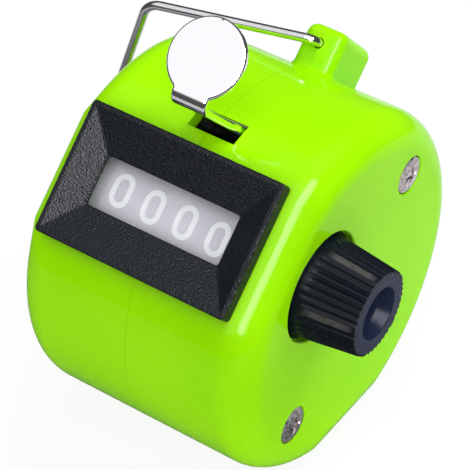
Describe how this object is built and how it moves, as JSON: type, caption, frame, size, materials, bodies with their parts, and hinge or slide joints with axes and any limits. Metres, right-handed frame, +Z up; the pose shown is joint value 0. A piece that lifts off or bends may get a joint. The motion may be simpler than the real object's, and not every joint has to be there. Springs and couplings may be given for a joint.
{
  "type": "hand tally counter",
  "caption": "Hand-held mechanical tally counter: drum housing in two halves, framed number window, thumb lever, reset knob and wire finger loop.",
  "frame": {"origin": "middle of the foot flat under the drum, at the middle of the drum's width", "axes": "+X along the drum axis towards the reset knob, +Y to the back (the number window leans towards -Y and up), +Z up"},
  "size_m": [0.0557, 0.0484, 0.0579],
  "materials": {
    "shell_green": "glossy moulded lime green",
    "bezel_black": "finely grained black",
    "lens_clear": "clear pane",
    "screw_nickel": "bright nickel plate",
    "frame_steel": "plain sheet and turned steel",
    "pin_steel": "ground steel",
    "spring_steel": "spring wire",
    "carrier_steel": "thin sheet steel",
    "washer_steel": "plain steel",
    "lever_chrome": "bright plated sheet",
    "pawl_steel": "stamped steel",
    "wheel_grey": "grey with pale printed digits",
    "ratchet_brass": "stamped brass",
    "pinion_plastic": "off-white moulded plastic",
    "shaft_steel": "ground steel",
    "knob_black": "black, fluted",
    "wire_chrome": "bright plated wire"
  },
  "bodies": {
    "housing": {"left_shell": "shell_green", "right_shell": "shell_green", "window_bezel": "bezel_black", "window_lens": "lens_clear", "case_screw_upper": "screw_nickel", "case_screw_lower": "screw_nickel", "left_frame_plate": "frame_steel", "right_frame_plate": "frame_steel", "rear_spacer": "frame_steel", "upper_spacer": "frame_steel", "lower_spacer": "frame_steel", "lever_pin": "pin_steel", "lever_spring": "spring_steel", "thousands_carrier": "carrier_steel", "hundreds_carrier": "carrier_steel", "tens_carrier": "carrier_steel", "holding_pawl_pin": "pin_steel", "holding_pawl_spring": "spring_steel", "left_thrust_washer": "washer_steel", "right_thrust_washer": "washer_steel"},
    "lever": {"thumb_lever": "lever_chrome", "drive_pawl_pin": "pin_steel", "drive_pawl_spring": "spring_steel"},
    "drive_pawl": {"drive_pawl": "pawl_steel"},
    "holding_pawl": {"holding_pawl": "pawl_steel"},
    "units": {"units_wheel": "wheel_grey", "ratchet_wheel": "ratchet_brass"},
    "tens": {"tens_wheel": "wheel_grey"},
    "hundreds": {"hundreds_wheel": "wheel_grey"},
    "thousands": {"thousands_wheel": "wheel_grey"},
    "tens_pinion": {"tens_pinion": "pinion_plastic"},
    "hundreds_pinion": {"hundreds_pinion": "pinion_plastic"},
    "thousands_pinion": {"thousands_pinion": "pinion_plastic"},
    "reset": {"reset_shaft": "shaft_steel", "shaft_clip": "pin_steel", "reset_knob": "knob_black"},
    "finger_loop": {"finger_loop": "wire_chrome"}
  },
  "joints": [
    {"name": "units_spin", "type": "hinge", "parent": "housing", "child": "units", "pos_m": [0, -0.00703, 0.02958], "axis": [1, 0, 0], "continuous": true},
    {"name": "tens_spin", "type": "hinge", "parent": "housing", "child": "tens", "pos_m": [0, -0.00703, 0.02958], "axis": [1, 0, 0], "continuous": true},
    {"name": "hundreds_spin", "type": "hinge", "parent": "housing", "child": "hundreds", "pos_m": [0, -0.00703, 0.02958], "axis": [1, 0, 0], "continuous": true},
    {"name": "thousands_spin", "type": "hinge", "parent": "housing", "child": "thousands", "pos_m": [0, -0.00703, 0.02958], "axis": [1, 0, 0], "continuous": true},
    {"name": "tens_pinion_spin", "type": "hinge", "parent": "housing", "child": "tens_pinion", "pos_m": [0, -0.00324, 0.02545], "axis": [1, 0, 0], "continuous": true},
    {"name": "hundreds_pinion_spin", "type": "hinge", "parent": "housing", "child": "hundreds_pinion", "pos_m": [0, -0.00324, 0.02545], "axis": [1, 0, 0], "continuous": true},
    {"name": "thousands_pinion_spin", "type": "hinge", "parent": "housing", "child": "thousands_pinion", "pos_m": [0, -0.00324, 0.02545], "axis": [1, 0, 0], "continuous": true},
    {"name": "reset_spin", "type": "hinge", "parent": "housing", "child": "reset", "pos_m": [0, -0.00703, 0.02958], "axis": [1, 0, 0], "continuous": true},
    {"name": "lever_hinge", "type": "hinge", "parent": "housing", "child": "lever", "pos_m": [0, 0.00069, 0.04085], "axis": [1, 0, 0], "range_deg": [0, 9], "stiffness_Nm_per_rad": 0.02, "springref_deg": -22.92},
    {"name": "drive_pawl_hinge", "type": "hinge", "parent": "lever", "child": "drive_pawl", "pos_m": [0, 0.0023, 0.02755], "axis": [1, 0, 0], "range_deg": [0, 8], "stiffness_Nm_per_rad": 0.002, "springref_deg": -17.19},
    {"name": "holding_pawl_hinge", "type": "hinge", "parent": "housing", "child": "holding_pawl", "pos_m": [0, -0.01275, 0.02176], "axis": [1, 0, 0], "range_deg": [0, 8], "stiffness_Nm_per_rad": 0.002, "springref_deg": -17.19},
    {"name": "finger_loop_hinge", "type": "hinge", "parent": "housing", "child": "finger_loop", "pos_m": [0, 0.01924, 0.03954], "axis": [0, 0.6756, -0.7373], "range_deg": [0, 140]}
  ],
  "couplings": [
    {"joint": "tens_spin", "follows": "units_spin", "ratio": 0.1},
    {"joint": "hundreds_spin", "follows": "units_spin", "ratio": 0.01},
    {"joint": "thousands_spin", "follows": "units_spin", "ratio": 0.001},
    {"joint": "tens_pinion_spin", "follows": "units_spin", "ratio": 0.33333},
    {"joint": "hundreds_pinion_spin", "follows": "units_spin", "ratio": 0.033333},
    {"joint": "thousands_pinion_spin", "follows": "units_spin", "ratio": 0.0033333}
  ]
}
